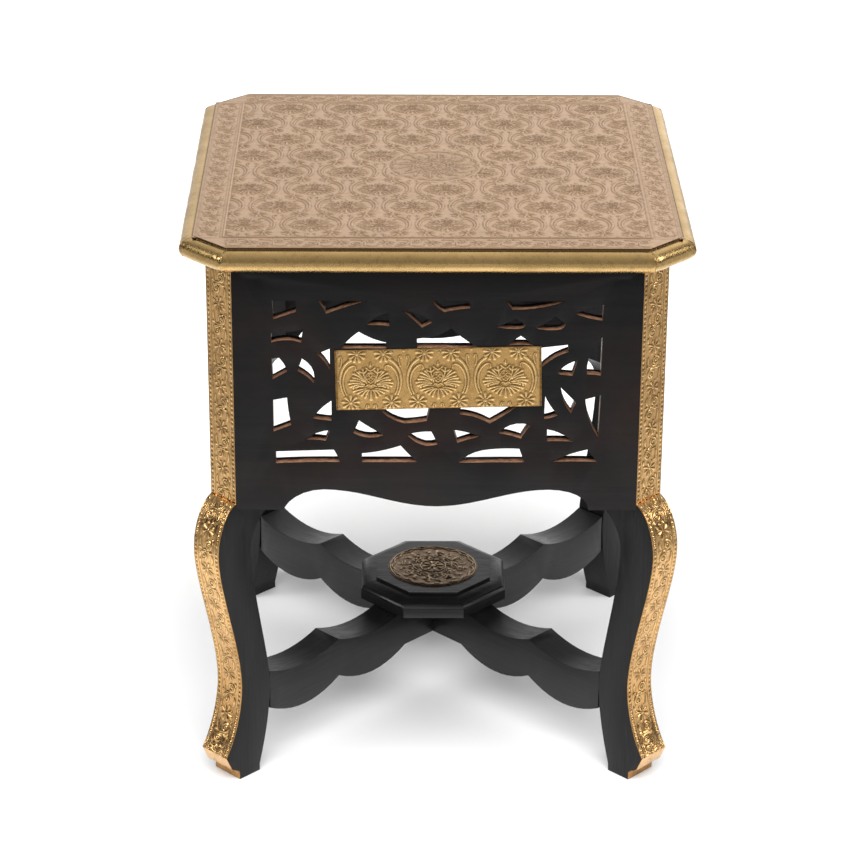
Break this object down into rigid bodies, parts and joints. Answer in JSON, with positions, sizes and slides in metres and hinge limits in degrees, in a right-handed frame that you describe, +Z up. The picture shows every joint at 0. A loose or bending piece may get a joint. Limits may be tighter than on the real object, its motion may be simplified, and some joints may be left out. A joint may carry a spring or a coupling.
{
  "type": "side table",
  "caption": "Low square side table with cut corners: embossed brass-clad top, corners and legs, pierced black wooden aprons, and a crossed stretcher with a small plinth.",
  "frame": {"origin": "on the floor under the middle of the top", "axes": "+Z up, front face towards -Y, +X to the right seen from the front"},
  "size_m": [0.38, 0.38, 0.45],
  "materials": {
    "top_brass": "embossed sheet, matte, dull pinkish gold",
    "edge_brass": "plain sheet, satin, worn",
    "strip_brass": "embossed sheet, satin, golden",
    "tack_brass": "dull tack heads",
    "medallion_brass": "embossed sheet, dark patina",
    "black_wood": "satin black stain, raw brown in the fretwork cuts",
    "raw_wood": "unfinished battens",
    "steel": "plain screws and nails"
  },
  "bodies": {
    "root": {"top_board": "black_wood", "top_sheet": "top_brass", "edge_front": "edge_brass", "edge_right": "edge_brass", "edge_back": "edge_brass", "edge_left": "edge_brass", "edge_corner_fr": "edge_brass", "edge_corner_br": "edge_brass", "edge_corner_bl": "edge_brass", "edge_corner_fl": "edge_brass", "panel_front": "black_wood", "panel_right": "black_wood", "panel_back": "black_wood", "panel_left": "black_wood", "plate_front": "strip_brass", "plate_right": "strip_brass", "plate_back": "strip_brass", "plate_left": "strip_brass", "plate_tacks_front": "tack_brass", "plate_tacks_right": "tack_brass", "plate_tacks_back": "tack_brass", "plate_tacks_left": "tack_brass", "leg_fr": "black_wood", "leg_br": "black_wood", "leg_bl": "black_wood", "leg_fl": "black_wood", "post_strip_fr": "strip_brass", "post_strip_br": "strip_brass", "post_strip_bl": "strip_brass", "post_strip_fl": "strip_brass", "leg_strip_fr": "strip_brass", "leg_strip_br": "strip_brass", "leg_strip_bl": "strip_brass", "leg_strip_fl": "strip_brass", "toe_cap_fr": "strip_brass", "toe_cap_br": "strip_brass", "toe_cap_bl": "strip_brass", "toe_cap_fl": "strip_brass", "strip_tacks_fr": "tack_brass", "strip_tacks_br": "tack_brass", "strip_tacks_bl": "tack_brass", "strip_tacks_fl": "tack_brass", "stretcher_under": "black_wood", "stretcher_over": "black_wood", "plinth": "black_wood", "plinth_medallion": "medallion_brass", "plinth_screws": "steel", "cleat_front": "raw_wood", "cleat_right": "raw_wood", "cleat_back": "raw_wood", "cleat_left": "raw_wood", "cleat_screws": "steel", "leg_screws": "steel", "panel_nails": "steel"}
  },
  "joints": []
}
